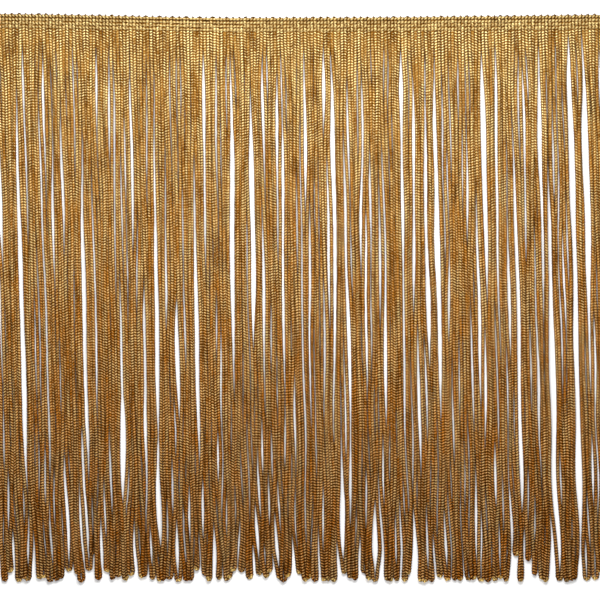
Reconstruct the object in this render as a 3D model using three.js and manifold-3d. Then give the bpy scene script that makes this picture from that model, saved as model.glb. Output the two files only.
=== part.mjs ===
// Chainette fringe trim, a cut length laid flat on a surface with its face up.
// One knitted chain cord runs out and back over the whole depth of the trim, and a narrow crocheted
// heading catches it along the top edge, where its turns stand out as scallops. Each run out and back
// is a loop: its face leg lies on top, turns over at the tip and comes back underneath as its back leg.
// Millimetres, +Z up. X runs along the heading and Y across the trim, with the heading on the +Y side.
// The trim lies on z = 0, and the origin is the middle of the floor that it covers.
import * as THREE from "three";
import { mergeVertices } from "three/addons/utils/BufferGeometryUtils.js";
import Module from "manifold-3d";

const wasm = await Module();
wasm.setup();

// Driving dimensions
const DEPTH = 305; // from the top of the scallops to the longest tips, the 12 inch size
const LOOPS = 94;
const LEG_PITCH = 1.8; // from one leg to the next where they leave the heading
const LEG_WIDTH = 1.9;
const LEG_THICK = 1.25;
const LAYER_STEP = 1.6; // from the middle of the back legs up to the middle of the face legs
const LEG_APART = 2.4; // the least distance between the middles of two legs in one layer
const LEG_DROPS = [85, 160, 232]; // where a leg may bend between its root and its tip

const WALES = 4; // rows of crochet stitches along the heading
const WALE_PITCH = 1.9;
const SCALLOP_RISE = 0.6; // how far the cord's top turns stand out past the first row
const SCALLOP_LOW = 0.5;
const SCALLOP_HIGH = 1.7;
const SAG = 2.4; // how far the heading dips between its two ends
const SAG_SKEW = 0.62; // under 1 puts the lowest point left of the middle
const BAND_STEPS = 28;
const EDGE_STEPS = 24;
const STRIP_STEPS = 16;

const ROOT_STRIP = 1.6; // width of the strip that holds the roots of the legs
const PIECE_GAP = 0.3;

// Worked out from the driving dimensions
const LENGTH = LOOPS * 2 * LEG_PITCH;
const LOOP_PITCH = 2 * LEG_PITCH;
const BAND = WALES * WALE_PITCH;
const HEADING = SCALLOP_RISE + BAND;
const STRIP_TOP = HEADING + PIECE_GAP;
const ROOT = STRIP_TOP + ROOT_STRIP / 2;
const BACK_MIDDLE = LEG_THICK / 2;
const FACE_MIDDLE = BACK_MIDDLE + LAYER_STEP;
const SKIRT_THICK = FACE_MIDDLE + LEG_THICK / 2;
const ALONG_TRIM = new THREE.Vector3(1, 0, 0);
const ACROSS_TRIM = new THREE.Vector3(0, 1, 0);

// One row of stitches in section: the share of its pitch where each point lies, and its height.
const WALE_SECTION = [
  { share: 0.04, high: 1.85 },
  { share: 0.3, high: 2.4 },
  { share: 0.7, high: 2.4 },
];
const BAND_EDGE_HIGH = 1.85;

// One scallop: the share of its pitch where each point lies, and its drop below the top edge.
const SCALLOP_OUTLINE = [
  { share: 0.06, drop: 0.7 },
  { share: 0.3, drop: 0 },
  { share: 0.7, drop: 0 },
  { share: 0.94, drop: 0.7 },
];

// How the legs lie
const LEAN = 0.012; // shift to +X for each millimetre of drop, at the middle of the trim
const LEAN_AT_ENDS = 0.018; // what the two ends lean more than the middle
const WANDER = 1.2; // how far a leg strays by itself
const WANDER_WAVE = 22; // length over which it strays
const REACH = 13; // how far from a parting the legs are still pushed
const TIP_SPREAD = 8; // how much shorter most loops may be than the longest
const SHORT_LOOP = 11; // what the few shortest ones lack besides
const SHORT_SHARE = 0.07;
const TIP_MEET = 20; // length over which the two legs of a loop come together
const LEVEL_STEP = 5;

// Where each run of uneven numbers starts
const SEED = { stray: 40, minor: 300, tipPartings: 700, short: 900 };

// The main partings between the loops. at is the place along the heading from its middle, wide the
// opening, and from and to the drops below the top edge between which it is open.
const PARTINGS = [
  { at: -153, wide: 3.6, from: 34, to: 296 },
  { at: -141, wide: 2.4, from: 16, to: 292 },
  { at: -129, wide: 2.0, from: 34, to: 138 },
  { at: -131, wide: 3.2, from: 236, to: 332 },
  { at: -118, wide: 3.2, from: 60, to: 236 },
  { at: -121, wide: 3.2, from: 222, to: 300 },
  { at: -97, wide: 2.2, from: 46, to: 162 },
  { at: -99, wide: 3.6, from: 206, to: 264 },
  { at: -92, wide: 2.8, from: 35, to: 138 },
  { at: -87, wide: 2.6, from: 148, to: 272 },
  { at: -79, wide: 3.6, from: 112, to: 242 },
  { at: -80, wide: 3.8, from: 228, to: 298 },
  { at: -69, wide: 3.2, from: 152, to: 222 },
  { at: -58, wide: 2.6, from: 62, to: 270 },
  { at: -50, wide: 2.8, from: 248, to: 332 },
  { at: -38, wide: 3.2, from: 62, to: 212 },
  { at: -27, wide: 2.2, from: 34, to: 184 },
  { at: -10, wide: 2.6, from: 58, to: 240 },
  { at: 0, wide: 2.2, from: 30, to: 284 },
  { at: 9, wide: 2.0, from: 68, to: 208 },
  { at: 16, wide: 3.4, from: 17, to: 240 },
  { at: 24, wide: 3.0, from: 32, to: 262 },
  { at: 20, wide: 3.2, from: 256, to: 332 },
  { at: 38, wide: 3.6, from: 252, to: 322 },
  { at: 54, wide: 2.2, from: 54, to: 282 },
  { at: 58, wide: 3.0, from: 264, to: 332 },
  { at: 67, wide: 2.8, from: 20, to: 196 },
  { at: 72, wide: 2.6, from: 16, to: 226 },
  { at: 90, wide: 2.2, from: 134, to: 276 },
  { at: 97, wide: 2.8, from: 20, to: 166 },
  { at: 104, wide: 2.4, from: 32, to: 190 },
  { at: 114, wide: 3.8, from: 36, to: 280 },
  { at: 127, wide: 2.8, from: 14, to: 238 },
  { at: 131, wide: 5.0, from: 30, to: 340 },
  { at: 137, wide: 2.8, from: 12, to: 220 },
  { at: 144, wide: 4.4, from: 10, to: 340 },
  { at: 151, wide: 3.2, from: 9, to: 212 },
];

// Between them, small partings come at even steps along the trim, and others only at the tips.
const MINOR = { count: 70, wide: 1.7, from: 10, spread: 220, long: 90 };
const TIP_PARTINGS = { count: 34, wide: 3.4, from: 240, spread: 26, long: 110 };

// A repeatable uneven number from 0 to 1 for each n.
function uneven(n) {
  const x = Math.sin(n * 12.9898) * 43758.5453;
  return x - Math.floor(x);
}

// How far the heading dips at a place along the trim.
function sagAt(x) {
  const along = THREE.MathUtils.clamp(x / LENGTH + 0.5, 0, 1);
  return SAG * Math.sin(Math.PI * along ** SAG_SKEW);
}

// The point that lies so far along the trim and so far below the straight line of its top edge.
function place(x, drop, z) {
  return new THREE.Vector3(x, DEPTH / 2 - drop, z);
}

function smallPartings({ count, wide, from, spread, long }, seed) {
  return Array.from({ length: count }, (_, n) => {
    const start = from + spread * uneven(seed + n);
    return {
      at: ((n + uneven(seed + n + count)) / count - 0.5) * LENGTH,
      wide: wide * (0.6 + 0.4 * uneven(seed + n + 2 * count)),
      from: start,
      to: start + long,
    };
  });
}

const ALL_PARTINGS = [
  ...PARTINGS,
  ...smallPartings(MINOR, SEED.minor),
  ...smallPartings(TIP_PARTINGS, SEED.tipPartings),
];

// How far the partings push a leg aside at a drop.
function pushed(x, drop) {
  let push = 0;
  for (const { at, wide, from, to } of ALL_PARTINGS) {
    const along = (drop - from) / (to - from);
    const away = Math.abs(x - at) / REACH;
    if (along > 0 && along < 1 && away < 1)
      push += (Math.sign(x - at) * wide * Math.sin(Math.PI * along) ** 0.7 * (1 - away)) / 2;
  }
  return push;
}

// Where a leg would lie at a drop if its neighbours left it room.
function aimed(leg, drop) {
  const x = (leg + 0.5) * LEG_PITCH - LENGTH / 2;
  const fall = drop - ROOT;
  const lean = LEAN + LEAN_AT_ENDS * (2 * x / LENGTH) ** 2;
  const free = THREE.MathUtils.smoothstep(fall, 0, 2 * WANDER_WAVE);
  const stray = Math.sin(fall / WANDER_WAVE + 2 * Math.PI * uneven(SEED.stray + leg));
  return x + lean * fall + pushed(x, drop) + WANDER * free * stray;
}

function tipDrops() {
  const lacks = Array.from({ length: LOOPS }, (_, loop) => {
    const short = uneven(SEED.short + loop) < SHORT_SHARE ? SHORT_LOOP : 0;
    return TIP_SPREAD * uneven(loop) ** 2 + short;
  });
  const least = Math.min(...lacks);
  return lacks.map((lack) => DEPTH - (lack - least));
}

// Moves the legs of one layer apart until none is nearer its neighbour than LEG_APART.
function keptApart(row) {
  const right = [...row];
  const left = [...row];
  for (let i = 1; i < row.length; i++) right[i] = Math.max(row[i], right[i - 1] + LEG_APART);
  for (let i = row.length - 2; i >= 0; i--) left[i] = Math.min(row[i], left[i + 1] - LEG_APART);
  return row.map((_, i) => (right[i] + left[i]) / 2);
}

// For each level of drop, where the face leg and the back leg of every loop lie along the trim.
// Near its tip the two legs of a loop come together.
function layLoops(tips) {
  const levels = Math.ceil((DEPTH - ROOT) / LEVEL_STEP) + 1;
  return Array.from({ length: levels }, (_, level) => {
    const drop = ROOT + level * LEVEL_STEP;
    const face = keptApart(tips.map((_, loop) => aimed(2 * loop, drop)));
    const back = keptApart(tips.map((_, loop) => aimed(2 * loop + 1, drop)));
    const middle = keptApart(face.map((x, loop) => (x + back[loop]) / 2));
    const met = tips.map((tip) => THREE.MathUtils.smoothstep(drop, tip - TIP_MEET, tip));
    const joined = (row) =>
      keptApart(row.map((x, loop) => THREE.MathUtils.lerp(x, middle[loop], met[loop])));
    return { face: joined(face), back: joined(back) };
  });
}

// A path whose steps are the points given, so that an extrusion has one ring at each of them. Each
// ring's second coordinate runs along across, squared to the path, so that nothing twists.
class StationPath extends THREE.Curve {
  constructor(stations, across) {
    super();
    this.stations = stations;
    this.across = across;
  }
  getPoint(t, target = new THREE.Vector3()) {
    return target.copy(this.stations[Math.round(t * (this.stations.length - 1))]);
  }
  getPointAt(u, target) {
    return this.getPoint(u, target);
  }
  computeFrenetFrames() {
    const last = this.stations.length - 1;
    const stretch = (i) => this.stations[i + 1].clone().sub(this.stations[i]).normalize();
    const tangents = this.stations.map((_, i) =>
      stretch(Math.max(i - 1, 0)).add(stretch(Math.min(i, last - 1))).normalize(),
    );
    const normals = tangents.map((tangent) => this.across.clone().cross(tangent).normalize());
    const binormals = tangents.map((tangent, i) => tangent.clone().cross(normals[i]));
    return { tangents, normals, binormals };
  }
}

// A closed bar of one section along stations.
function barAlong(section, stations, across) {
  return new THREE.ExtrudeGeometry(section, {
    steps: stations.length - 1,
    extrudePath: new StationPath(stations, across),
    bevelEnabled: false,
  });
}

function solidOf(geometry) {
  geometry.deleteAttribute("normal");
  geometry.deleteAttribute("uv");
  const merged = mergeVertices(geometry, 1e-4);
  return new wasm.Manifold(
    new wasm.Mesh({
      numProp: 3,
      vertProperties: merged.attributes.position.array,
      triVerts: new Uint32Array(merged.index.array),
    }),
  );
}

function geometryOf(solid) {
  const { vertProperties, triVerts } = solid.getMesh();
  const geometry = new THREE.BufferGeometry();
  geometry.setAttribute("position", new THREE.BufferAttribute(vertProperties, 3));
  geometry.setIndex(new THREE.BufferAttribute(triVerts, 1));
  geometry.computeVertexNormals();
  return geometry;
}

// Points of the line that lies a fixed drop below the sagging top edge.
function saggingLine(drop, z, steps) {
  return Array.from({ length: steps + 1 }, (_, i) => {
    const x = (i / steps - 0.5) * LENGTH;
    return place(x, drop + sagAt(x), z);
  });
}

// The heading's section has a flat underside and one rounded rib for each row of stitches.
// Along +X with its second coordinate across the trim, the first one runs down.
function bandSection() {
  const outline = [new THREE.Vector2(0, -BAND / 2)];
  for (let wale = 0; wale < WALES; wale++)
    for (const { share, high } of WALE_SECTION)
      outline.push(new THREE.Vector2(-high, (wale + share) * WALE_PITCH - BAND / 2));
  outline.push(new THREE.Vector2(-BAND_EDGE_HIGH, BAND / 2));
  outline.push(new THREE.Vector2(0, BAND / 2));
  return new THREE.Shape(outline);
}

// The cord's turns along the top edge, one between each two loops.
function scallopEdge() {
  const outline = [];
  const point = (x, drop) => outline.push(new THREE.Vector2(x, DEPTH / 2 - drop - sagAt(x)));
  for (let turn = 1; turn < LOOPS; turn++)
    for (const { share, drop } of SCALLOP_OUTLINE)
      point((turn + share - 0.5) * LOOP_PITCH - LENGTH / 2, drop);
  const foot = LENGTH / 2 - (0.5 + SCALLOP_OUTLINE[0].share) * LOOP_PITCH;
  for (let i = EDGE_STEPS; i >= 0; i--)
    point(foot * ((2 * i) / EDGE_STEPS - 1), SCALLOP_RISE + WALE_PITCH / 2);
  const edge = new THREE.ExtrudeGeometry(new THREE.Shape(outline), {
    depth: SCALLOP_HIGH - SCALLOP_LOW,
    bevelEnabled: false,
  });
  return edge.translate(0, 0, SCALLOP_LOW);
}

function headingBand() {
  const line = saggingLine(SCALLOP_RISE + BAND / 2, 0, BAND_STEPS);
  const band = barAlong(bandSection(), line, ACROSS_TRIM);
  return geometryOf(solidOf(band).add(solidOf(scallopEdge())));
}

// The stations of one loop: down the face leg, over at the tip and back up the back leg.
function loopStations(rows, loop, tip) {
  const end = tip - LEG_THICK / 2 - LAYER_STEP / 2;
  const lying = (side, drop) => {
    const level = Math.min((drop - ROOT) / LEVEL_STEP, rows.length - 1.001);
    const above = Math.floor(level);
    return THREE.MathUtils.lerp(rows[above][side][loop], rows[above + 1][side][loop], level - above);
  };
  const turn = (lying("face", end) + lying("back", end)) / 2;
  const leg = (side, z) => {
    const stations = [ROOT, ...LEG_DROPS, end - TIP_MEET].map((drop) => {
      const x = lying(side, drop);
      return place(x, drop + sagAt(x) * (1 - (drop - ROOT) / (end - ROOT)), z);
    });
    return [...stations, place(turn, end, z)];
  };
  return [
    ...leg("face", FACE_MIDDLE),
    place(turn, tip - LEG_THICK / 2, (FACE_MIDDLE + BACK_MIDDLE) / 2),
    ...leg("back", BACK_MIDDLE).reverse(),
  ];
}

function rectangle(high, wide) {
  return new THREE.Shape([
    new THREE.Vector2(-high / 2, -wide / 2),
    new THREE.Vector2(high / 2, -wide / 2),
    new THREE.Vector2(high / 2, wide / 2),
    new THREE.Vector2(-high / 2, wide / 2),
  ]);
}

function chainetteSkirt() {
  const tips = tipDrops();
  const rows = layLoops(tips);
  const strip = saggingLine(ROOT, SKIRT_THICK / 2, STRIP_STEPS);
  let skirt = solidOf(barAlong(rectangle(SKIRT_THICK, ROOT_STRIP), strip, ACROSS_TRIM));
  tips.forEach((tip, loop) => {
    const stations = loopStations(rows, loop, tip);
    const cord = barAlong(rectangle(LEG_THICK, LEG_WIDTH), stations, ALONG_TRIM);
    skirt = skirt.add(solidOf(cord));
  });
  return geometryOf(skirt);
}

const GOLD_HEADING = new THREE.MeshStandardMaterial({
  color: 0xb4965a,
  roughness: 0.5,
  metalness: 0.25,
});
const GOLD_CHAINETTE = new THREE.MeshStandardMaterial({
  color: 0x9c7038,
  roughness: 0.48,
  metalness: 0.25,
});

function namedMesh(name, geometry, material) {
  const mesh = new THREE.Mesh(geometry, material);
  mesh.name = name;
  return mesh;
}

const trim = new THREE.Group();
trim.add(namedMesh("heading_band", headingBand(), GOLD_HEADING));
trim.add(namedMesh("chainette_skirt", chainetteSkirt(), GOLD_CHAINETTE));

// The loops lean to one side, so the whole trim is moved to put its middle over the origin.
const middle = new THREE.Box3().setFromObject(trim).getCenter(new THREE.Vector3());
trim.position.set(-middle.x, -middle.y, 0);

export default trim;
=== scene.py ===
import math

import bmesh
import bpy
import numpy as np
from bpy.props import FloatProperty, FloatVectorProperty, IntProperty, PointerProperty
from mathutils import Matrix, Vector


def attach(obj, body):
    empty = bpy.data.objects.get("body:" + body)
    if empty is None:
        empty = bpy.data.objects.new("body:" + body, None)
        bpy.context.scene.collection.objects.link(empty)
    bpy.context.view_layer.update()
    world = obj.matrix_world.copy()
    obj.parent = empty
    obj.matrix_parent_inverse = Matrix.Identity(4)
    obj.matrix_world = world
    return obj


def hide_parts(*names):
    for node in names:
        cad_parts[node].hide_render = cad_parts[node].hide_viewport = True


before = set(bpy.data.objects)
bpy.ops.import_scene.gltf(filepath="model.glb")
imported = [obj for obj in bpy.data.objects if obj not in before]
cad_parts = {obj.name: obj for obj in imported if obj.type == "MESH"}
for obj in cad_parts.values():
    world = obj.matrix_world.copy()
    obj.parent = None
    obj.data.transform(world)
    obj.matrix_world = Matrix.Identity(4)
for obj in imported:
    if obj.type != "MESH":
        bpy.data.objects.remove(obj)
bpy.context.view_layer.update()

bl_info = {
    "name": "Chainette Fringe Trim",
    "version": (1, 0, 0),
    "blender": (4, 5, 0),
    "location": "View3D > Sidebar > Fringe",
    "description": "Makes a cut length of looped chainette fringe with a crocheted heading, laid flat",
    "category": "Add Mesh",
}

# The lay of the trim is worked out in millimetres, and MM turns it into metres.
MM = 0.001

# Where the heading's middle and the middle of the depth lie in the frame
TRIM_MIDDLE = (-4.624, 0.02)

# Sizes of the trim, as its solids have them
DEPTH = 305.0
LOOPS = 94
LEGS = 2 * LOOPS
LEG_PITCH = 1.8
LOOP_PITCH = 2 * LEG_PITCH
LENGTH = LOOPS * LOOP_PITCH
WALES = 4  # rows of crochet stitches along the heading
ROOT = 9.3  # drop at which the legs have left the heading

# How far the heading dips, at places along its length from its left end to its right end
DIPS = [
    {"along": 0.0, "dip": -0.9},
    {"along": 0.08, "dip": -0.6},
    {"along": 0.24, "dip": 0.4},
    {"along": 0.33, "dip": 1.2},
    {"along": 0.42, "dip": 1.35},
    {"along": 0.63, "dip": 1.1},
    {"along": 0.76, "dip": 0.6},
    {"along": 0.9, "dip": 0.2},
    {"along": 1.0, "dip": -0.6},
]
DIP_EVENED = 0.06  # the dips are averaged over this share of the length each way
DIP_SAMPLES = 9

# How the legs lie. The two leans are those of the solids.
LEAN = 0.012  # shift to the right for each millimetre of drop, at the middle of the trim
LEAN_AT_ENDS = 0.018  # what the trim's two ends lean more than its middle
REACH = 6.5  # how far from a parting the legs are still pushed
OPENING_POWER = 0.7  # under 1 opens a parting faster than a sine
WANDER = 0.1  # how far a leg strays by itself below the heading
WANDER_LOW = 0.8  # and how far near its tip
WANDER_GROWS = (170.0, 290.0)  # the drops below the root between which it comes to stray so far
WANDER_STARTS = 40.0  # drop below the root within which no leg strays fully
WANDER_WAVE = 12.0  # how slowly it strays to and fro
WANDER_WAVES = (0.8, 0.5)  # the shortest wave and what the longest has more, for WANDER_WAVE
FLICK = 1.6  # how far the loops' ends turn aside
FLICK_LONG = 45.0  # over so much of their length
FLICK_PAST = FLICK_LONG / 4  # how far past the tip the turning aside would still go on

# The spacing of neighbouring legs changes along them in slow waves, each with its size and length
SPACING_WAVES = [
    {"size": 0.9, "long": 95.0},
    {"size": 0.86, "long": 38.0},
    {"size": 0.3, "long": 14.0},
]
SPACING_LENGTHS = (0.75, 0.5)  # the shortest of each wave and what the longest has more, for its length
UNEVEN_LEFT = 0.38  # how uneven the spacing is at the left
UNEVEN_RIGHT = 0.52  # and at the right
UNEVEN_TURNS = (0.3, 0.5)  # the shares of the length between which it goes from one to the other
UNEVEN_GROWS = 45.0  # drop at which the spacing has become as uneven as it gets
UNEVEN_EASED = 0.75  # how much more even it is again at the tips
LEAST_SPACING = 0.75  # for the plain spacing
EVENED_LEGS = 4  # the spacing is even again over so many legs each way

TIP_SPREAD = 6.0  # how much shorter most loops may be than the longest
SHORT_LOOP = 11.0  # what the few shortest ones lack besides
SHORT_SHARE = 0.07
TIP_MEET = 18.0  # length over which the two legs of a loop come together
TIP_SIDES = (0.3, 0.25)  # how near they come to the loop's middle and what some keep more, for the width
LEVEL_STEP = 2.5  # from one drop at which the legs are placed to the next

# The main partings between the loops: place along the heading from its middle, width, and the drops
# below the top edge between which it is open
PARTINGS = [
    {"at": -153, "wide": 3.6, "start": 34, "end": 296},
    {"at": -141, "wide": 2.4, "start": 16, "end": 292},
    {"at": -129, "wide": 2.0, "start": 34, "end": 138},
    {"at": -131, "wide": 3.2, "start": 236, "end": 332},
    {"at": -118, "wide": 3.2, "start": 60, "end": 236},
    {"at": -121, "wide": 3.2, "start": 222, "end": 300},
    {"at": -97, "wide": 2.2, "start": 46, "end": 162},
    {"at": -99, "wide": 3.6, "start": 206, "end": 264},
    {"at": -92, "wide": 2.8, "start": 35, "end": 138},
    {"at": -87, "wide": 2.6, "start": 148, "end": 272},
    {"at": -79, "wide": 3.6, "start": 112, "end": 242},
    {"at": -80, "wide": 3.8, "start": 228, "end": 298},
    {"at": -69, "wide": 3.2, "start": 152, "end": 222},
    {"at": -58, "wide": 2.6, "start": 62, "end": 270},
    {"at": -50, "wide": 2.8, "start": 248, "end": 332},
    {"at": -38, "wide": 3.2, "start": 62, "end": 212},
    {"at": -27, "wide": 2.2, "start": 34, "end": 184},
    {"at": -10, "wide": 2.6, "start": 58, "end": 240},
    {"at": 0, "wide": 2.2, "start": 30, "end": 284},
    {"at": 9, "wide": 2.0, "start": 68, "end": 208},
    {"at": 16, "wide": 3.4, "start": 17, "end": 240},
    {"at": 24, "wide": 3.0, "start": 32, "end": 262},
    {"at": 20, "wide": 3.2, "start": 256, "end": 332},
    {"at": 38, "wide": 3.6, "start": 252, "end": 322},
    {"at": 54, "wide": 2.2, "start": 54, "end": 282},
    {"at": 58, "wide": 3.0, "start": 264, "end": 332},
    {"at": 67, "wide": 2.8, "start": 20, "end": 196},
    {"at": 72, "wide": 2.6, "start": 16, "end": 226},
    {"at": 90, "wide": 2.2, "start": 134, "end": 276},
    {"at": 97, "wide": 2.8, "start": 20, "end": 166},
    {"at": 104, "wide": 2.4, "start": 32, "end": 190},
    {"at": 114, "wide": 3.8, "start": 36, "end": 280},
    {"at": 127, "wide": 2.8, "start": 14, "end": 238},
    {"at": 131, "wide": 5.0, "start": 30, "end": 340},
    {"at": 137, "wide": 2.8, "start": 12, "end": 220},
    {"at": 144, "wide": 4.4, "start": 10, "end": 340},
    {"at": 151, "wide": 3.2, "start": 9, "end": 212},
]
PARTED = 0.8  # how wide they are left by the cords' thickness
TIP_PARTINGS = {"count": 34, "wide": 1.3, "start": 240, "spread": 26, "long": 110}
TIP_PARTING_WIDTHS = (0.6, 0.4)  # the narrowest of these and what the widest has more

# Where each run of uneven numbers starts
SEED = {
    "spacing": 5000,
    "spacing_phase": 6000,
    "stray": 40,
    "stray_wave": 4040,
    "tip_partings": 700,
    "short": 900,
    "tip_side": 1100,
    "twist": 1300,
    "phase": 1500,
    "flick": 1700,
    "shade": 1900,
    "stitch": 2100,
}
SEEDS_APART = 500  # from one wave of the spacing to the next
PHASE_SEEDS = 3  # from one loop to the next, for the place of its first stitch
ROW_SEEDS = 7  # from one row of stitches to the next
LOOP_SEEDS = 31  # from one loop's stitches to the next loop's

# A sine over steps of this size, so many times as large, has uneven numbers behind its decimal point
UNEVEN_STEP = 12.9898
UNEVEN_TIMES = 43758.5453

# The cord's own lie, which only the finished trim has
LEG_APART = 1.5  # the least distance between two legs of one layer, which are soft
PRESSED = 0.78  # how thick a lying cord is for its width
LOWEST = 0.02  # the cords are flat where they press on the surface
CONTACT = 0.86  # how near two crossing cords come for their width
HELD_ROWS = 2  # so many rows above and below a crossing the upper leg is as high
EVENED_ROWS = 3  # and its height is averaged over so many
LIFT = 0.12  # how far the lower legs are waved off the surface, for the width
LIFT_WAVE = 9.0  # how slow those waves are
LIFT_PHASES = 6.3  # the waves of the loops start anywhere in about one turn
IN_HEADING = 0.85  # width of the cord in the heading for its width outside
OUT_OF_HEADING = (1.5, 5.0)  # lengths from the cord's end between which it gets its width
AT_TIP = 0.85  # its width where it is folded
TIP_LONG = 1.6  # length from the tip at which the cord has its width again, for the width
AT_END = 0.78  # where one loop's cord runs on into the next loop's
END_LONG = 0.7  # length over which it gets so thin there
LOOSER = 0.09  # how much wider the cord is near the tips, where it lies looser
LOOSER_FROM = 190.0  # length from the cord's end at which it starts to be wider
TIP_ROOM = 0.7  # what the fold at the tip takes of the loop's depth, for the width
LEAST_FOLD = 0.2  # the least depth of that fold, for the width
HEADING_HEIGHT = 1.0  # of the middle of the cord inside the heading
FIRST_STITCHES = 1.95  # drop of the middle of the first row of stitches
STITCH_ROW_PITCH = 1.95

# The two layers of the heading's stitches: the height of their middles, their width and height for the
# face's, how much their ends bend down, and the heights at which their painted shade is deepest and at which
# they are painted lightest
STITCH_LAYERS = [
    {
        "name": "heading_stitches",
        "segments": 6,
        "rings": 6,
        "middle": 1.95,
        "wide": 1.0,
        "high": 1.0,
        "arch": 0.55,
        "dark_at": 1.1,
        "bright_at": 2.6,
    },
    {
        "name": "heading_back",
        "segments": 5,
        "rings": 4,
        "middle": 0.42,
        "wide": 1.65,
        "high": 0.62,
        "arch": -0.1,
        "dark_at": 1.0,
        "bright_at": 0.2,
    },
]
SETTLE = 14.0  # length over which the legs come down from the heading
TURN_RADIUS = 0.5 * LEG_PITCH  # of the cord's turns along the top edge
TURN_RISE = 1.5  # of the turns over the legs beside them
TURN_OVERLAP = 0.2  # how far a cord runs on past the top of its turn into the next loop's
LEG_STATIONS = 150
TURN_STATIONS = 9  # in each turn of the cord, and in the fold at its tip
PIECES = 5  # that the fringe is made in

# How far the ridges and the hollows of the stitches stand off the cord's plain width, for the relief
RIDGE = 0.3
HOLLOW = -1.3
RELIEF_UNLIKE = 0.05  # how far stitches differ in that, for half the width
PLACE_UNLIKE = 0.1  # and how far they lie off their places along the cord
STITCHES_FREE = (1.0, 4.0)  # lengths from the cord's end between which they come to stand out

# The share of a strip of the cord's own map that is left clear at each side
STRIP_CLEAR = 0.04

# How far the two slanting arms of a stitch run on at each corner round the cord, for the whole slant
ARM_SLANTS = np.array([-0.5, -0.17, 0.17, 0.5, 0.17, -0.17])

# The noises in the chainette's yarn: how fine they are for the stitches, and how far apart from loop to loop
STRAND_NOISE = {"across": 1.3, "along": 1.7, "loops": 40.0}
DRIFT_NOISE = {"along": 0.12, "loops": 90.0}
SHINE_NOISE = {"along": 0.05, "loops": 70.0, "start": 5.0}

# How high the yarn lies in the stitches, from 0 to 1; the lower yarn gets painted shade
LOWEST_YARN = 0.2
ARM_ENDS = 0.7

# How light the yarn is painted: painted shade darkens it where it lies low between the stitches, on the
# cord's flanks and underside, and towards the tips. A pair holds the values between which the light, or what
# is named, grows from 0 to 1.
LIT_FROM = (0.3, 1.05)
STRANDS_LIT = 0.5  # what the strands add or take away
NEAR_HEADING_LIT = 0.55  # what the yarn near the heading is painted lighter, a painted light that fades towards the tips
# how light the cord's flanks and underside stay under their painted shade
UNDERSIDE_LIT = 0.2
FACES_UP = (0.0, 0.7)
LOW_TURNED = 0.35  # how much further round the cord the painted shade on its flanks reaches at the tips
# The yarn's tone drifts slowly and unevenly along each cord and from loop to loop, between its darker and its
# lighter colour
DRIFT_FROM = (0.4, 0.6)
DRIFT_LOW_FROM = (0.35, 0.6)
DRIFT_LOW_DIMMED = 0.5

# Where the yarn sparkles: metallic lustre whose light gold base colour is also partly a painted highlight
SPARK_FROM = (0.66, 0.95)
STRANDS_SPARK = 0.9
SHINE_SPARK = 0.3
SHINE_FROM = (0.35, 0.65)
SPARK_FACING = (0.45, 0.8)
DULL_ROUGHER = 0.25  # roughness that yarn without a spark has more

# The painted shade on the tops of the scallops and the painted glint at the folds of the tips, each over so
# many stitches
TOPMOST_STITCHES = 1.3
TOPMOST_FROM = (0.0, 0.4)
TOPMOST_SHADE = 0.75
FOLD_STITCHES = 1.1
FOLD_FROM = (0.0, 0.5)
FOLD_STRANDS = (0.35, 0.6)
FOLD_LOOPS = (0.3, 0.6)
FOLD_HOLLOWS = 0.35

# The heading's yarn and its plies, with painted shade in its lower places and between its plies
PLIES = 6
PLY_TWIST = 9.0
PLIES_LIT = 0.25
PLIES_SPARK = 0.4
SHADE_SPARK = 0.2
LEAST_TONE = 0.4
HEADING_LIT_FROM = (0.0, 0.5)
HEADING_SPARK_FROM = (0.4, 1.0)

# The fine relief of the yarn, in metres, and how strongly it shows
STITCH_BUMP = 0.25 * MM
STRAND_BUMP = 0.4  # of the strands, for the stitches
PLY_BUMP = 0.12 * MM
BUMP_STRENGTH = 0.6

# How the heading's stitches differ from each other, and between which shares of its length they turn
STITCH_SLANTS = 0.2
STITCH_LENGTHS = (0.94, 0.12)  # the shortest and what the longest has more, for their length
SLANTS_TURN = (0.15, 0.5)

# The stage in metres: the lights' places are from the middle of the view
KEY_LIGHT = {"place": (0.0, 0.34, 0.52), "size": (0.4, 0.25)}
FILL_LIGHT = {"place": (0.0, -0.55, 0.4), "size": (0.8, 0.3)}
FLOOR_SIZE = 2.5
FLOOR_GRAIN = 900.0
FLOOR_TONES = (0.3, 0.7)
FLOOR_DIMMED = 0.985
FLOOR_ROUGHNESS = 0.9
SENSOR_WIDTH = 36.0


def uneven(numbers):
    """A repeatable uneven number from 0 to 1 for each number."""
    spread = np.sin(np.asarray(numbers, dtype=float) * UNEVEN_STEP) * UNEVEN_TIMES
    return spread - np.floor(spread)


def smoothstep(values, low, high):
    share = np.clip((values - low) / (high - low), 0.0, 1.0)
    return share * share * (3.0 - 2.0 * share)


def from_least(least_and_more, shares):
    """The least of some size and so large a share of what it may have more."""
    least, more = least_and_more
    return least + more * shares


def sag_at(x):
    """The dip of the heading, evened over a little of its length."""
    near = x[..., None] / LENGTH + 0.5 + np.linspace(-DIP_EVENED, DIP_EVENED, DIP_SAMPLES)
    places = [point["along"] for point in DIPS]
    dips = [point["dip"] for point in DIPS]
    return np.interp(near, places, dips).mean(axis=-1)


def small_partings(kind, seed):
    """So many partings of one kind spread along the trim: their places, widths, starts and ends."""
    count = kind["count"]
    n = np.arange(count)
    at = ((n + uneven(seed + n + count)) / count - 0.5) * LENGTH
    wide = kind["wide"] * from_least(TIP_PARTING_WIDTHS, uneven(seed + n + 2 * count))
    start = kind["start"] + kind["spread"] * uneven(seed + n)
    return np.stack([at, wide, start, start + kind["long"]], axis=1)


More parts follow.
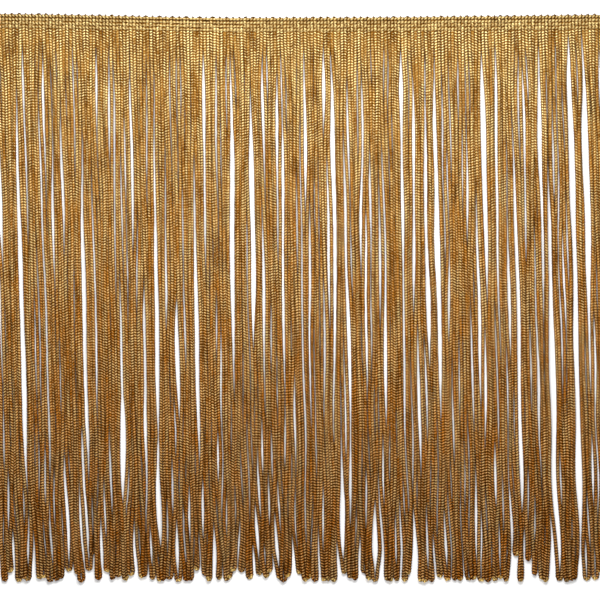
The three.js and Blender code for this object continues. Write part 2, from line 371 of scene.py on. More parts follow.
def all_partings():
    main = np.array([[p["at"], p["wide"], p["start"], p["end"]] for p in PARTINGS], dtype=float)
    main[:, 1] *= PARTED
    return np.concatenate([main, small_partings(TIP_PARTINGS, SEED["tip_partings"])])


def evened(rows, edge):
    """Each row averaged over EVENED_LEGS neighbours and more to both sides."""
    reach = 3 * EVENED_LEGS
    weights = np.exp(-0.5 * (np.arange(-reach, reach + 1) / EVENED_LEGS) ** 2)
    padded = np.pad(rows, ((0, 0), (reach, reach)), mode=edge)
    return np.stack([np.convolve(row, weights / weights.sum(), "valid") for row in padded])


def spaced_legs(drops):
    """The legs hung with uneven spacings, which leave long slits between groups of legs."""
    gap = np.arange(LEGS + 1)
    waves = np.zeros((len(drops), LEGS + 1))
    for number, wave in enumerate(SPACING_WAVES):
        apart = SEEDS_APART * number
        length = wave["long"] * from_least(SPACING_LENGTHS, uneven(SEED["spacing"] + apart + gap))
        phase = 2 * math.pi * uneven(SEED["spacing_phase"] + apart + gap)
        waves += wave["size"] * np.sin(drops[:, None] / length + phase)
    rightness = smoothstep(gap / LEGS, *UNEVEN_TURNS)
    unevenness = UNEVEN_LEFT + (UNEVEN_RIGHT - UNEVEN_LEFT) * rightness
    unevenness = unevenness * smoothstep(drops[:, None], ROOT, UNEVEN_GROWS)
    unevenness *= 1.0 - UNEVEN_EASED * smoothstep(drops[:, None], DEPTH / 2, DEPTH)
    spacing = np.maximum(np.exp(unevenness * waves), LEAST_SPACING)
    spacing = spacing / evened(spacing, "reflect") * LEG_PITCH
    reached = np.cumsum(spacing, axis=1)[:, :-1]
    hung = (np.arange(LEGS) + 0.5) * LEG_PITCH - LENGTH / 2
    shift = reached - reached.mean(axis=1, keepdims=True) - hung
    return hung + shift - evened(shift, "edge")


def aimed_legs(drops):
    """Where each leg would lie at each drop if its neighbours left it room, one row for each drop."""
    legs = np.arange(LEGS)
    x = (legs + 0.5) * LEG_PITCH - LENGTH / 2
    fall = (drops - ROOT)[:, None]
    push = np.zeros((len(drops), LEGS))
    for at, wide, start, end in all_partings():
        along = (drops - start) / (end - start)
        opening = np.sin(math.pi * np.clip(along, 0.0, 1.0)) ** OPENING_POWER
        near = np.clip(1.0 - np.abs(x - at) / REACH, 0.0, None)
        push += opening[:, None] * (np.sign(x - at) * near * wide / 2)[None, :]
    lean = LEAN + LEAN_AT_ENDS * (2 * x / LENGTH) ** 2
    wander = WANDER + (WANDER_LOW - WANDER) * smoothstep(fall, *WANDER_GROWS)
    wave = WANDER_WAVE * from_least(WANDER_WAVES, uneven(SEED["stray_wave"] + legs))
    stray = np.sin(fall / wave + 2 * math.pi * uneven(SEED["stray"] + legs)[None, :])
    return spaced_legs(drops) + lean * fall + push + wander * smoothstep(fall, 0.0, WANDER_STARTS) * stray


def kept_apart(rows):
    """Moves the legs of each row apart until none is nearer its neighbour than LEG_APART."""
    right = rows.copy()
    left = rows.copy()
    for i in range(1, rows.shape[1]):
        right[:, i] = np.maximum(rows[:, i], right[:, i - 1] + LEG_APART)
    for i in range(rows.shape[1] - 2, -1, -1):
        left[:, i] = np.minimum(rows[:, i], left[:, i + 1] - LEG_APART)
    return (right + left) / 2


def tip_drops():
    """How far below the top edge the tip of each loop lies."""
    loops = np.arange(LOOPS)
    short = np.where(uneven(SEED["short"] + loops) < SHORT_SHARE, SHORT_LOOP, 0.0)
    lacks = TIP_SPREAD * uneven(loops) ** 2 + short
    return DEPTH - (lacks - lacks.min())


def smoothed(rows, reach):
    """The rows averaged with their neighbours above and below."""
    padded = np.pad(rows, ((reach, reach), (0, 0)), mode="edge")
    windows = [padded[i : i + len(rows)] for i in range(2 * reach + 1)]
    return sum(windows) / len(windows)


def held_up(rows, reach):
    """The highest of each row and its neighbours above and below."""
    padded = np.pad(rows, ((reach, reach), (0, 0)), mode="edge")
    return np.max([padded[i : i + len(rows)] for i in range(2 * reach + 1)], axis=0)


def lay_legs(cord_width):
    """The drops, and for both legs of every loop where they lie along the trim and how high."""
    drops = np.arange(ROOT, DEPTH + LEVEL_STEP, LEVEL_STEP)
    tips = tip_drops()
    aimed = aimed_legs(drops)
    face = kept_apart(aimed[:, 0::2])
    back = kept_apart(aimed[:, 1::2])
    loops = np.arange(LOOPS)
    flick = FLICK * (2.0 * uneven(SEED["flick"] + loops) - 1.0)
    aside = flick * smoothstep(drops[:, None], tips - FLICK_LONG, tips + FLICK_PAST)
    middle = kept_apart((face + back) / 2 + aside)
    side = cord_width * from_least(TIP_SIDES, uneven(SEED["tip_side"] + loops))[None, :]
    met = smoothstep(drops[:, None], tips - TIP_MEET, tips)
    face = kept_apart(face + aside + (middle - side - face - aside) * met)
    back = kept_apart(back + aside + (middle + side - back - aside) * met)

    floor = PRESSED * cord_width / 2
    across = (face[:, :, None] - back[:, None, :]) / (CONTACT * cord_width)
    rise = PRESSED * cord_width * np.sqrt(np.clip(1.0 - across**2, 0.0, None)).max(axis=2)
    face_height = floor + smoothed(held_up(rise, HELD_ROWS), EVENED_ROWS)
    waved = np.sin(drops[:, None] / LIFT_WAVE + LIFT_PHASES * uneven(loops))
    back_height = floor + LIFT * cord_width * (1.0 + waved)
    hung = 1.0 - smoothstep(drops - ROOT, 0.0, SETTLE)[:, None]
    face_height += (HEADING_HEIGHT - face_height) * hung
    back_height += (HEADING_HEIGHT - back_height) * hung
    return drops, tips, (face, face_height), (back, back_height)


def loop_stations(cord_width):
    """The stations of every loop's cord, from its turn in the heading round its tip and back."""
    drops, tips, face, back = lay_legs(cord_width)
    scallop = cord_width * IN_HEADING / 2 + TURN_RISE
    end = tips - cord_width * TIP_ROOM
    loops = []
    for loop in range(LOOPS):
        legs = []
        for side, (x_rows, z_rows) in ((-1, face), (1, back)):
            leg = 2 * loop + (side > 0)
            root_x = (leg + 0.5) * LEG_PITCH - LENGTH / 2
            drop = scallop + (end[loop] - scallop) * np.linspace(0.0, 1.0, LEG_STATIONS)
            x = np.where(drop < ROOT, root_x, np.interp(drop, drops, x_rows[:, loop]))
            z = np.where(drop < ROOT, HEADING_HEIGHT, np.interp(drop, drops, z_rows[:, loop]))
            sagging = 1.0 - np.clip((drop - ROOT) / (end[loop] - ROOT), 0.0, 1.0)
            leg_line = np.stack([x, drop + sag_at(x) * sagging, z], axis=1)
            turn = np.linspace(0.0, math.pi / 2, TURN_STATIONS)[:-1]
            turn_x = root_x + side * TURN_RADIUS * (1.0 - np.sin(turn))
            turn_x = np.concatenate([[turn_x[0] + side * TURN_OVERLAP], turn_x])
            turn = np.concatenate([[0.0], turn])
            turn_drop = scallop - TURN_RISE * np.cos(turn) + sag_at(turn_x)
            turn_line = np.stack([turn_x, turn_drop, np.full_like(turn, HEADING_HEIGHT)], axis=1)
            legs.append(np.concatenate([turn_line, leg_line]))
        down, up = legs[0], legs[1][::-1]
        middle = (down[-1] + up[0]) / 2
        half = (up[0] - down[-1]) / 2
        reach = max(np.linalg.norm(half), LEAST_FOLD * cord_width)
        around = np.linspace(0.0, math.pi, TURN_STATIONS)[1:-1, None]
        ahead = np.array([0.0, reach, 0.0])
        fold = middle - half * np.cos(around) + ahead * np.sin(around)
        loops.append(np.concatenate([down, fold, up]))
    stations = np.array(loops)
    stations[:, :, 0] += TRIM_MIDDLE[0]
    stations[:, :, 1] = DEPTH / 2 + TRIM_MIDDLE[1] - stations[:, :, 1]
    return stations


def unit(vectors):
    return vectors / np.linalg.norm(vectors, axis=-1, keepdims=True)


def carried_frames(stations):
    """Two directions across each line of stations, carried along it without twisting."""
    onward = unit(np.gradient(stations, axis=1))
    up = np.zeros_like(stations)
    up[:, 0] = (0.0, 0.0, 1.0)
    for i in range(1, stations.shape[1]):
        lean = np.sum(up[:, i - 1] * onward[:, i], axis=-1, keepdims=True)
        up[:, i] = unit(up[:, i - 1] - lean * onward[:, i])
    return np.cross(onward, up), up


def rolled_tube(sides, rows):
    """A closed tube of one unit's width and length along +Y, with its sheet's UV map kept on it."""
    merged_within = 0.1 / rows
    bm = bmesh.new()
    bm.loops.layers.uv.new("stitch")
    bmesh.ops.create_grid(bm, x_segments=sides, y_segments=rows, size=0.5, calc_uvs=True)
    for vert in bm.verts:
        angle = 2 * math.pi * vert.co.x
        vert.co = (0.5 * math.sin(angle), vert.co.y + 0.5, 0.5 * math.cos(angle))
    bmesh.ops.remove_doubles(bm, verts=bm.verts, dist=merged_within)
    bmesh.ops.holes_fill(bm, edges=[edge for edge in bm.edges if edge.is_boundary])
    bmesh.ops.recalc_face_normals(bm, faces=bm.faces)
    for face in bm.faces:
        face.smooth = True
    return bm


def joined_copies(bm, name, count):
    """A mesh object with so many copies of a bmesh, which it frees, joined one after the other."""
    one = bpy.data.meshes.new(name)
    bm.to_mesh(one)
    bm.free()
    many = bmesh.new()
    for _ in range(count):
        many.from_mesh(one)
    mesh = bpy.data.meshes.new(name)
    many.to_mesh(mesh)
    many.free()
    bpy.data.meshes.remove(one)
    piece = bpy.data.objects.new(name, mesh)
    bpy.context.scene.collection.objects.link(piece)
    return piece


def points_of(mesh):
    points = np.empty(3 * len(mesh.vertices))
    mesh.vertices.foreach_get("co", points)
    return points.reshape(-1, 3)


def move_points(mesh, points):
    mesh.vertices.foreach_set("co", np.ascontiguousarray(points, dtype=float).ravel())
    mesh.update()


def uv_of(mesh, name):
    values = np.empty(2 * len(mesh.loops))
    mesh.uv_layers[name].data.foreach_get("uv", values)
    return values.reshape(-1, 2)


def set_uv(mesh, name, values):
    if name not in mesh.uv_layers:
        mesh.uv_layers.new(name=name)
    mesh.uv_layers[name].data.foreach_set("uv", np.ascontiguousarray(values, dtype=float).ravel())


def set_attribute(mesh, name, values):
    made = mesh.attributes.new(name, "FLOAT", "POINT")
    made.data.foreach_set("value", np.ascontiguousarray(values, dtype=float))


class Field:
    """A value in a material's nodes. Sums of fields add the Math nodes that work them out."""

    def __init__(self, shader, socket):
        self.shader = shader
        self.socket = socket

    def _math(self, operation, *inputs):
        node = self.shader.add("ShaderNodeMath", {"operation": operation}, dict(enumerate(inputs)))
        return Field(self.shader, node.outputs[0])

    def __add__(self, other):
        return self._math("ADD", self, other)

    __radd__ = __add__

    def __mul__(self, other):
        return self._math("MULTIPLY", self, other)

    __rmul__ = __mul__

    def __sub__(self, other):
        return self._math("SUBTRACT", self, other)

    def __rsub__(self, other):
        return self._math("SUBTRACT", other, self)

    def __truediv__(self, other):
        return self._math("DIVIDE", self, other)

    def __rtruediv__(self, other):
        return self._math("DIVIDE", other, self)

    def sine(self):
        return self._math("SINE", self)

    def absolute(self):
        return self._math("ABSOLUTE", self)

    def between(self, low, high):
        """0 at low and 1 at high, held there beyond them."""
        ranged = {"From Min": low, "From Max": high, "Value": self}
        node = self.shader.add("ShaderNodeMapRange", {}, ranged)
        return Field(self.shader, node.outputs[0])


class Shader:
    """A material and the methods that add its nodes."""

    def __init__(self, name):
        self.material = bpy.data.materials.new(name)
        self.material.use_nodes = True
        self.nodes = self.material.node_tree.nodes
        self.links = self.material.node_tree.links
        self.nodes.clear()
        self.surface = self.add("ShaderNodeBsdfPrincipled")
        self.add("ShaderNodeOutputMaterial", {}, {"Surface": self.surface.outputs[0]})

    def add(self, kind, settings=None, inputs=None):
        """Adds a node, sets its settings, then gives its sockets their values or links."""
        node = self.nodes.new(kind)
        for name, value in (settings or {}).items():
            setattr(node, name, value)
        self.give(node, inputs or {})
        return node

    def give(self, node, inputs):
        for name, value in inputs.items():
            socket = value.socket if isinstance(value, Field) else value
            if isinstance(socket, bpy.types.NodeSocket):
                self.links.new(socket, node.inputs[name])
            else:
                node.inputs[name].default_value = socket

    def field(self, node, output=0):
        return Field(self, node.outputs[output])

    def mixed(self, share, first, second):
        """A colour from first to second by share, which are the node's inputs 6 and 7."""
        inputs = {"Factor": share, 6: first, 7: second}
        mix = self.add("ShaderNodeMix", {"data_type": "RGBA"}, inputs)
        return mix.outputs[2]

    def uv(self, name):
        where = self.add("ShaderNodeUVMap", {"uv_map": name})
        parts = self.add("ShaderNodeSeparateXYZ", {}, {0: where.outputs[0]})
        return self.field(parts, 0), self.field(parts, 1)

    def attribute(self, name):
        return self.field(self.add("ShaderNodeAttribute", {"attribute_name": name}), "Fac")

    def noise(self, x, y, z, detail=2.0):
        """A noise from 0 to 1 over the three fields."""
        place = self.add("ShaderNodeCombineXYZ", {}, {0: x, 1: y, 2: z})
        inputs = {"Vector": place.outputs[0], "Scale": 1.0, "Detail": detail}
        noise = self.add("ShaderNodeTexNoise", {}, inputs)
        return self.field(noise, "Fac")

    def bumped(self, height, distance):
        """Small relief of the surface, so high over its lowest places."""
        inputs = {"Height": height, "Distance": distance, "Strength": BUMP_STRENGTH}
        bump = self.add("ShaderNodeBump", {}, inputs)
        self.give(self.surface, {"Normal": bump.outputs[0]})


def rgba(colour):
    return (*colour, 1.0)


def dimmed(colour, share):
    return rgba(share * part for part in colour)


def lustrous_finish(shader, looks, colour, spark):
    """Rayon's finish: brown yarn whose raised places reflect the light in yellow gold, partly through
    metallic lustre and partly through that gold painted into their colour as a painted highlight.
    """
    shader.give(
        shader.surface,
        {
            "Base Color": shader.mixed(spark, colour, rgba(looks.gloss)),
            "Roughness": looks.roughness + DULL_ROUGHER * (1.0 - spark),
            "Metallic": looks.metallic * spark,
            "Specular IOR Level": 0.0,
            "Specular Tint": rgba(looks.gloss_edge),
        },
    )


def chainette_yarn(looks, cord):
    """Lustrous yarn knitted into a cord: bright on the stitches' arms, with painted shade between them."""
    shader = Shader("chainette_yarn")
    across, along = shader.uv("stitch")
    shade = shader.attribute("shade")
    facing = shader.attribute("facing")
    fine = STRAND_NOISE
    strands = shader.noise(across * fine["across"], along * fine["along"], shade * fine["loops"])
    tone_drift = shader.noise(along * DRIFT_NOISE["along"], shade * DRIFT_NOISE["loops"], 0.0, detail=4.0)
    shine = shader.noise(along * SHINE_NOISE["along"], shade * SHINE_NOISE["loops"], SHINE_NOISE["start"])
    uneven_strands = strands - 0.5
    uneven_shine = shine.between(*SHINE_FROM) - 0.5

    # A stitch is highest on its ridge and in the middle of its arms, and the lower yarn between is painted
    # darker as painted shade.
    ridge = 0.5 + 0.5 * (along * (2 * math.pi) + math.pi / 2).sine()
    arm = (across * math.pi).sine().absolute()
    raised = LOWEST_YARN + (1.0 - LOWEST_YARN) * ridge * (ARM_ENDS + (1.0 - ARM_ENDS) * arm)

    # 0 in the heading and 1 at the tip
    from_heading = 1.0 - (2.0 * along / cord.stitches - 1.0).absolute()
    upward = (facing - LOW_TURNED * from_heading).between(*FACES_UP)
    # Painted shade: the yarn is painted darker where it lies low, on the cord's flanks and underside and
    # towards the tips, and painted lighter near the heading
    light = raised + STRANDS_LIT * uneven_strands + NEAR_HEADING_LIT * (1.0 - from_heading)
    light = light.between(*LIT_FROM) * (UNDERSIDE_LIT + (1.0 - UNDERSIDE_LIT) * upward)
    # Sparks: metallic lustre on raised, upward-facing yarn that fades towards the tips; their light gold
    # colour is partly a painted highlight
    spark = (raised + STRANDS_SPARK * uneven_strands + SHINE_SPARK * uneven_shine).between(*SPARK_FROM)
    spark = spark * facing.between(*SPARK_FACING) * (1.0 - looks.duller * from_heading)

    # The yarn's tone drifts slowly and unevenly along each cord, between its darker and its lighter colour
    face = shader.mixed(tone_drift.between(*DRIFT_FROM), rgba(looks.yarn_deep), rgba(looks.yarn))
    darker_tip_tone = dimmed(looks.painted_tip_tone, DRIFT_LOW_DIMMED)
    low = shader.mixed(tone_drift.between(*DRIFT_LOW_FROM), darker_tip_tone, rgba(looks.painted_tip_tone))
    # Painted light: the colour shifts towards the tips' redder tone as the light falls off
    face = shader.mixed(from_heading, face, low)
    colour = shader.mixed(light, rgba(looks.painted_shade), face)

    # The cord's two ends are the tops of the scallops, which get painted shade, and its middle is the fold at
    # the tip, where some loops get a painted glint.
    from_fold = (along - cord.stitches / 2).absolute()
    topmost = (from_fold - (cord.stitches / 2 - TOPMOST_STITCHES)).between(*TOPMOST_FROM)
    colour = shader.mixed(topmost * TOPMOST_SHADE, colour, rgba(looks.painted_shade))
    # Painted highlight: a bright gold glint painted on the fold at the tip of some loops, more on its ridges
    # than in its hollows
    turned = (1.0 - from_fold / FOLD_STITCHES).between(*FOLD_FROM) * strands.between(*FOLD_STRANDS)
    some_loops = shade.between(*FOLD_LOOPS)
    on_ridge = FOLD_HOLLOWS + (1.0 - FOLD_HOLLOWS) * ridge
    colour = shader.mixed(turned * some_loops * on_ridge, colour, rgba(looks.painted_glint))
    lustrous_finish(shader, looks, colour, spark * (1.0 - topmost))
    shader.bumped(raised + strands * STRAND_BUMP, STITCH_BUMP)
    return shader.material


def heading_yarn(looks):
    """The same yarn laid in crocheted stitches, whose strands run along each stitch."""
    shader = Shader("heading_yarn")
    around, along = shader.uv("stitch")
    shade = shader.attribute("shade")
    height = shader.attribute("raised")
    plies = 0.5 + 0.5 * (around * (PLIES * 2 * math.pi) + along * PLY_TWIST).sine()
    # Painted shade: the heading's lower stitches and the grooves between their plies are painted darker
    light = (height * (1.0 - PLIES_LIT + PLIES_LIT * plies)).between(*HEADING_LIT_FROM)
    spark = height * (1.0 - PLIES_SPARK + PLIES_SPARK * plies) + SHADE_SPARK * (shade - 0.5)
    tone = LEAST_TONE + (1.0 - LEAST_TONE) * shade
    face = shader.mixed(tone, rgba(looks.yarn_deep), rgba(looks.yarn))
    colour = shader.mixed(light, rgba(looks.painted_shade), face)
    lustrous_finish(shader, looks, colour, spark.between(*HEADING_SPARK_FROM))
    shader.bumped(plies, PLY_BUMP)
    return shader.material


def plain_floor(colour):
    """A pale matt surface with a faint grain."""
    shader = Shader("pale_floor")
    where = shader.add("ShaderNodeTexCoord")
    inputs = {"Vector": where.outputs["Object"], "Scale": FLOOR_GRAIN}
    grain = shader.add("ShaderNodeTexNoise", {}, inputs)
    tone = shader.field(grain, "Fac").between(*FLOOR_TONES)
    grained = shader.mixed(tone, dimmed(colour, FLOOR_DIMMED), rgba(colour))
    shader.give(shader.surface, {"Base Color": grained, "Roughness": FLOOR_ROUGHNESS})
    return shader.material


def finished(piece, node, material):
    piece.data.materials.append(material)
    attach(piece, "root")
    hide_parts(node)


class YarnLooks(bpy.types.PropertyGroup):
    yarn: FloatVectorProperty(
        name="Yarn",
        description="Lit yarn in the heading and below it",
        subtype="COLOR",
        size=3,
        default=(0.40, 0.19, 0.03),
    )
    # The darker tone of the yarn, which the cords take in their uneven stretches and the heading's stitches
    # at random
    yarn_deep: FloatVectorProperty(
        name="Deep yarn",
        description="Worn and deeper places of that yarn",
        subtype="COLOR",
        size=3,
        default=(0.20, 0.075, 0.006),
    )
    # Painted light: a redder tone that the cords are painted towards the tips, standing in for the light and
    # sheen that fall off there
    painted_tip_tone: FloatVectorProperty(
        name="Yarn at the tips",
        description="Lit yarn at the tips, which the rest shades into",
        subtype="COLOR",
        size=3,
        default=(0.62, 0.175, 0.004),
    )
    # How much the sparks, with their painted highlight, fade towards the tips
    duller: FloatProperty(
        name="Duller tips",
        description="How much less the yarn shines at the tips",
        subtype="FACTOR",
        default=0.7,
        min=0.0,
        max=1.0,
    )
    # Painted shade: the near-black colour painted between the stitches, on the cords' flanks, on the
    # scallops' tops and in the heading's lower places
    painted_shade: FloatVectorProperty(
        name="Crevice",
        description="Dark places between the stitches",
        subtype="COLOR",
        size=3,
        default=(0.02, 0.005, 0.0005),
    )
    # Painted highlight: the colour of the glint painted on the folds at the tips
    painted_glint: FloatVectorProperty(
        name="Glint",
        description="Stretched yarn at the fold of a tip",
        subtype="COLOR",
        size=3,
        default=(1.0, 0.68, 0.2),
    )
    # The sparks' colour: it tints their metallic reflections and is partly a painted highlight
    gloss: FloatVectorProperty(
        name="Gloss",
        description="Colour of the yarn's reflections",
        subtype="COLOR",
        size=3,
        default=(1.0, 0.83, 0.38),
    )
    gloss_edge: FloatVectorProperty(
        name="Gloss edge",
        description="Colour of its reflections at a low angle",
        subtype="COLOR",
        size=3,
        default=(1.0, 0.7, 0.3),
    )
    roughness: FloatProperty(
        name="Roughness",
        description="Of the shining yarn",
        subtype="FACTOR",
        default=0.48,
        min=0.0,
        max=1.0,
    )
    metallic: FloatProperty(
        name="Lustre",
        description="Of the shining yarn",
        subtype="FACTOR",
        default=0.75,
        min=0.0,
        max=1.0,
    )


class ChainetteSizes(bpy.types.PropertyGroup):
    width: FloatProperty(
        name="Cord width",
        description="Across one leg of the cord",
        unit="LENGTH",
        default=2.15 * MM,
    )
    stitches: IntProperty(
        name="Stitches",
        description="Stitches along the cord of one loop",
        default=410,
        min=10,
    )
    columns: IntProperty(
        name="Columns",
        description="Columns of stitches round the cord",
        default=3,
        min=2,
    )
    relief: FloatProperty(
        name="Relief",
        description="How strongly the stitches stand out of the cord",
        subtype="FACTOR",
        default=0.17,
    )
    slant: FloatProperty(
        name="Slant",
        description="How far an arm of a stitch runs on along the cord",
        unit="LENGTH",
        default=1.25 * MM,
    )
    turns: FloatProperty(
        name="Twist",
        description="Most turns of the cord in a metre, either way",
        default=12.0,
    )


class HeadingSizes(bpy.types.PropertyGroup):
    stitch_length: FloatProperty(
        name="Stitch length",
        description="Along one stitch",
        unit="LENGTH",
        default=2.5 * MM,
    )
    stitch_width: FloatProperty(
        name="Stitch width",
        description="Across one stitch",
        unit="LENGTH",
        default=1.2 * MM,
    )
    stitch_height: FloatProperty(
        name="Stitch height",
        description="Of one stitch",
        unit="LENGTH",
        default=1.3 * MM,
    )
    slant_left: FloatProperty(
        name="Slant at the left",
        description="Of the stitches at the heading's left end",
        subtype="ANGLE",
        default=math.radians(132),
    )
    slant_right: FloatProperty(
        name="Slant at the right",
        description="Of the stitches at the heading's right end",
        subtype="ANGLE",
        default=math.radians(48),
    )


class StageSizes(bpy.types.PropertyGroup):
    view_width: FloatProperty(
        name="View width",
        description="Width of the surface that the camera takes in",
        unit="LENGTH",
        default=0.3226,
    )
    camera_height: FloatProperty(
        name="Camera height",
        description="Of the camera over the surface",
        unit="LENGTH",
        default=1.0,
    )
    view_middle: FloatProperty(
        name="View middle",
        description="Drop below the top edge at the view's middle",
        unit="LENGTH",
        default=0.1539,
    )
    key_power: FloatProperty(
        name="Key light",
        description="Power of the light beyond the heading",
        unit="POWER",
        default=5.0,
    )
    fill_power: FloatProperty(
        name="Fill light",
        description="Power of the light before the tips",
        unit="POWER",
        default=2.8,
    )
    sky_power: FloatProperty(
        name="Sky",
        description="Strength of the light from all round",
        default=0.1,
    )
    floor: FloatVectorProperty(
        name="Floor",
        description="Colour of the floor",
        subtype="COLOR",
        size=3,
        default=(0.98, 0.98, 0.98),
    )


class TRIM_OT_lay_chainette(bpy.types.Operator):
    """Knit the cord of every loop and lay it along its legs"""

    bl_idname = "trim.lay_chainette"
    bl_label = "Lay the chainette"

    def execute(self, context):
        sizes = context.scene.trim_chainette
        material = chainette_yarn(context.scene.trim_looks, sizes)
        width = sizes.width / MM
        stations = loop_stations(width)
        side, up = carried_frames(stations)
        for number, loops in enumerate(np.array_split(np.arange(LOOPS), PIECES)):
            cord = rolled_tube(2 * sizes.columns, 2 * sizes.stitches)
            piece = joined_copies(cord, f"chainette_{number + 1}", len(loops))
            self.lay(piece.data, loops, stations, side, up, sizes)
            finished(piece, "chainette_skirt", material)
        return {"FINISHED"}

    def lay(self, mesh, loops, stations, side, up, sizes):
        """Gives the straight cords their stitches and bends each along its loop's stations."""
        width = sizes.width / MM
        last_row = 2 * sizes.stitches
        straight = points_of(mesh).reshape(len(loops), -1, 3)
        row = np.rint(straight[:, :, 1] * last_row)
        angle = np.arctan2(straight[:, :, 0], straight[:, :, 2])
        corner = np.rint(angle * sizes.columns / math.pi)
        offset = 2.0 * uneven(SEED["phase"] + PHASE_SEEDS * loops)[:, None]
        along = (row + offset) / (last_row + 2)
        seeds = SEED["stitch"] + ROW_SEEDS * row + corner % sizes.columns + LOOP_SEEDS * loops[:, None]
        unlike = 2.0 * uneven(seeds) - 1.0
        relief = sizes.relief * np.where(row % 2 == 0, RIDGE, HOLLOW) + RELIEF_UNLIKE * unlike
        slants = sizes.slant / MM * ARM_SLANTS[corner.astype(int) % len(ARM_SLANTS)]
        laid = np.empty_like(straight)
        facing = np.empty(row.shape)
        for i, loop in enumerate(loops):
            line = stations[loop]
            lengths = np.linalg.norm(np.diff(line, axis=0), axis=1)
            reached = np.concatenate([[0.0], np.cumsum(lengths)])
            long = reached[-1]
            middle = along[i] * long
            free = smoothstep(np.minimum(middle, long - middle), *STITCHES_FREE)
            at = middle + free * (slants[i] + PLACE_UNLIKE * unlike[i])
            at = np.where(row[i] == 0, 0.0, np.where(row[i] == last_row, long, at))
            place, across, over = (
                np.stack([np.interp(at, reached, values[:, k]) for k in range(3)], axis=1)
                for values in (line, side[loop], up[loop])
            )
            narrow = self.narrowed(at, long, width)
            twist = 2 * math.pi * sizes.turns * (2.0 * uneven(SEED["twist"] + loop) - 1.0)
            turned = angle[i] + twist * at * MM + 2 * math.pi * uneven(SEED["phase"] + loop)
            size = width / 2 * (1.0 + free * relief[i]) * narrow
            sideways = across * (size * np.sin(turned))[:, None]
            outward = sideways + over * (size * np.cos(turned))[:, None]
            # How far the cord's surface faces up or down, which sets the painted shade on its flanks and
            # where it sparkles
            facing[i] = np.abs(outward[:, 2]) / size
            outward[:, 2] *= PRESSED
            laid[i] = place + outward
        laid[:, :, 2] = np.maximum(laid[:, :, 2], LOWEST)
        move_points(mesh, laid.reshape(-1, 3) * MM)
        self.map_yarn(mesh, len(loops), sizes)
        shades = uneven(SEED["shade"] + loops)
        set_attribute(mesh, "shade", np.repeat(shades, straight.shape[1]))
        set_attribute(mesh, "facing", facing.ravel())

    def narrowed(self, at, long, width):
        """The cord's width at places along it, as a share of its plain width."""
        from_end = np.minimum(at, long - at)
        from_tip = np.abs(at - long / 2)
        narrow = IN_HEADING + (1.0 - IN_HEADING) * smoothstep(from_end, *OUT_OF_HEADING)
        narrow *= AT_TIP + (1.0 - AT_TIP) * smoothstep(from_tip, 0.0, TIP_LONG * width)
        narrow *= AT_END + (1.0 - AT_END) * smoothstep(from_end, 0.0, END_LONG)
        return narrow * (1.0 + LOOSER * smoothstep(from_end, LOOSER_FROM, DEPTH))

    def map_yarn(self, mesh, count, sizes):
        """Two maps: one that counts columns and stitches, and one that lays each cord in two strips."""
        corners = uv_of(mesh, "stitch").reshape(count, -1, 2)
        starts = np.empty(len(mesh.polygons), dtype=np.int32)
        totals = np.empty(len(mesh.polygons), dtype=np.int32)
        mesh.polygons.foreach_get("loop_start", starts)
        mesh.polygons.foreach_get("loop_total", totals)
        faces = np.repeat(np.arange(len(starts)), totals)
        middle = np.bincount(faces, uv_of(mesh, "stitch")[:, 1]) / totals
        half = (middle[faces] > 0.5).astype(float).reshape(count, -1)
        copy = np.arange(count)[:, None]
        inside = STRIP_CLEAR + (1.0 - 2 * STRIP_CLEAR) * corners[:, :, 0]
        strip = (2 * copy + half + inside) / (2 * count)
        length = 2 * corners[:, :, 1] - half
        set_uv(mesh, "OFBake", np.stack([strip, length], axis=2).reshape(-1, 2))
        set_uv(mesh, "stitch", (corners * (2 * sizes.columns, sizes.stitches)).reshape(-1, 2))


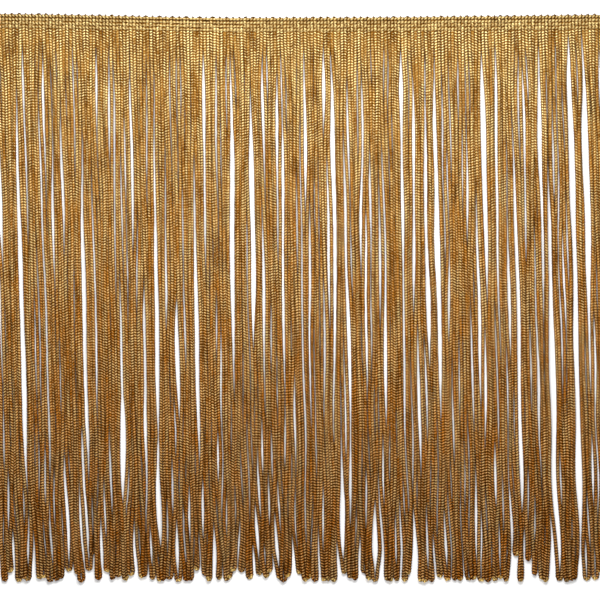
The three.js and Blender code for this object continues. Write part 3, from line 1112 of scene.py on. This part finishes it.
class TRIM_OT_crochet_heading(bpy.types.Operator):
    """Crochet the heading's rows of stitches over the cord"""

    bl_idname = "trim.crochet_heading"
    bl_label = "Crochet the heading"

    def execute(self, context):
        sizes = context.scene.trim_heading
        material = heading_yarn(context.scene.trim_looks)
        for layer in STITCH_LAYERS:
            piece = self.stitches(layer["name"], layer["segments"], layer["rings"])
            self.place(piece.data, sizes, layer)
            finished(piece, "heading_band", material)
        return {"FINISHED"}

    def stitches(self, name, segments, rings):
        """So many egg-shaped stitches, all still in one place, pointing along +Y."""
        bm = bmesh.new()
        bm.loops.layers.uv.new("stitch")
        bmesh.ops.create_uvsphere(bm, u_segments=segments, v_segments=rings, radius=0.5, calc_uvs=True)
        bmesh.ops.rotate(bm, verts=bm.verts, cent=(0, 0, 0), matrix=Matrix.Rotation(math.pi / 2, 3, "X"))
        for face in bm.faces:
            face.smooth = True
        return joined_copies(bm, name, WALES * LEGS)

    def place(self, mesh, sizes, layer):
        """Lays the stitches in rows along the sag, slanting one way at the left and another at the right."""
        count = WALES * LEGS
        number = np.arange(count)
        leg = number % LEGS
        wale = number // LEGS
        points = points_of(mesh).reshape(count, -1, 3)
        x = (leg + 0.5) * LEG_PITCH - LENGTH / 2
        drop = FIRST_STITCHES + wale * STITCH_ROW_PITCH + sag_at(x)
        unlike = uneven(SEED["stitch"] + number)
        rightness = smoothstep(x / LENGTH + 0.5, *SLANTS_TURN)
        slant = sizes.slant_left + (sizes.slant_right - sizes.slant_left) * rightness
        slant = (slant + STITCH_SLANTS * (unlike - 0.5))[:, None]
        wide = points[:, :, 0] * sizes.stitch_width / MM * layer["wide"]
        long = points[:, :, 1] * sizes.stitch_length / MM * from_least(STITCH_LENGTHS, unlike[:, None])
        high = points[:, :, 2] * sizes.stitch_height / MM * layer["high"]
        high -= layer["arch"] * (2 * points[:, :, 1]) ** 2
        placed = np.empty_like(points)
        placed[:, :, 0] = TRIM_MIDDLE[0] + x[:, None] + wide * np.cos(slant) + long * np.sin(slant)
        along = long * np.cos(slant) - wide * np.sin(slant)
        placed[:, :, 1] = DEPTH / 2 + TRIM_MIDDLE[1] - drop[:, None] + along
        placed[:, :, 2] = layer["middle"] + high
        move_points(mesh, placed.reshape(-1, 3) * MM)
        set_attribute(mesh, "shade", np.repeat(unlike, points.shape[1]))
        # Painted shade: each point's height between the heights at which the stitches are painted darkest and
        # lightest
        raised = (placed[:, :, 2] - layer["dark_at"]) / (layer["bright_at"] - layer["dark_at"])
        set_attribute(mesh, "raised", np.clip(raised, 0.0, 1.0).ravel())


class TRIM_OT_set_stage(bpy.types.Operator):
    """Set the pale floor, the soft lights and the camera straight over the trim"""

    bl_idname = "trim.set_stage"
    bl_label = "Set the stage"

    def execute(self, context):
        scene = context.scene
        sizes = scene.trim_stage
        bm = bmesh.new()
        bmesh.ops.create_grid(bm, x_segments=1, y_segments=1, size=FLOOR_SIZE)
        mesh = bpy.data.meshes.new("floor")
        bm.to_mesh(mesh)
        bm.free()
        floor = bpy.data.objects.new("floor", mesh)
        scene.collection.objects.link(floor)
        floor.data.materials.append(plain_floor(sizes.floor))

        world = bpy.data.worlds.new("studio")
        world.use_nodes = True
        sky = world.node_tree.nodes["Background"]
        sky.inputs["Color"].default_value = (1.0, 1.0, 1.0, 1.0)
        sky.inputs["Strength"].default_value = sizes.sky_power
        scene.world = world

        top_edge = (DEPTH / 2 + TRIM_MIDDLE[1]) * MM
        middle = Vector((TRIM_MIDDLE[0] * MM, top_edge - sizes.view_middle, 0.0))
        self.light("key", KEY_LIGHT, middle, sizes.key_power)
        self.light("fill", FILL_LIGHT, middle, sizes.fill_power)
        camera = bpy.data.cameras.new("camera")
        camera.sensor_width = SENSOR_WIDTH
        camera.lens = SENSOR_WIDTH * sizes.camera_height / sizes.view_width
        holder = bpy.data.objects.new("camera", camera)
        holder.location = middle + Vector((0.0, 0.0, sizes.camera_height))
        scene.collection.objects.link(holder)
        scene.camera = holder
        scene.view_settings.view_transform = "Standard"
        return {"FINISHED"}

    def light(self, name, kind, target, power):
        """A flat soft light that points at the target."""
        place = target + Vector(kind["place"])
        lamp = bpy.data.lights.new(name, "AREA")
        lamp.shape = "RECTANGLE"
        lamp.size, lamp.size_y = kind["size"]
        lamp.energy = power
        holder = bpy.data.objects.new(name, lamp)
        holder.location = place
        holder.rotation_mode = "QUATERNION"
        holder.rotation_quaternion = (target - place).to_track_quat("-Z", "Y")
        bpy.context.scene.collection.objects.link(holder)


class VIEW3D_PT_trim(bpy.types.Panel):
    """The fringe's sizes, and a button for each of its makings"""

    bl_label = "Chainette fringe"
    bl_space_type = "VIEW_3D"
    bl_region_type = "UI"
    bl_category = "Fringe"

    def draw(self, context):
        for group in GROUPS:
            settings = getattr(context.scene, group)
            for name in settings.__annotations__:
                self.layout.prop(settings, name)
        for operator in OPERATORS:
            self.layout.operator(operator.bl_idname)


GROUPS = {
    "trim_looks": YarnLooks,
    "trim_chainette": ChainetteSizes,
    "trim_heading": HeadingSizes,
    "trim_stage": StageSizes,
}
OPERATORS = (TRIM_OT_lay_chainette, TRIM_OT_crochet_heading, TRIM_OT_set_stage)
CLASSES = (*GROUPS.values(), *OPERATORS, VIEW3D_PT_trim)


def register():
    for made in CLASSES:
        bpy.utils.register_class(made)
    for name, group in GROUPS.items():
        setattr(bpy.types.Scene, name, PointerProperty(type=group))


def unregister():
    for name in GROUPS:
        delattr(bpy.types.Scene, name)
    for made in reversed(CLASSES):
        bpy.utils.unregister_class(made)


def main():
    register()
    bpy.ops.trim.lay_chainette()
    bpy.ops.trim.crochet_heading()
    bpy.ops.trim.set_stage()
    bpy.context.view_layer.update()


if __name__ == "__main__":
    main()
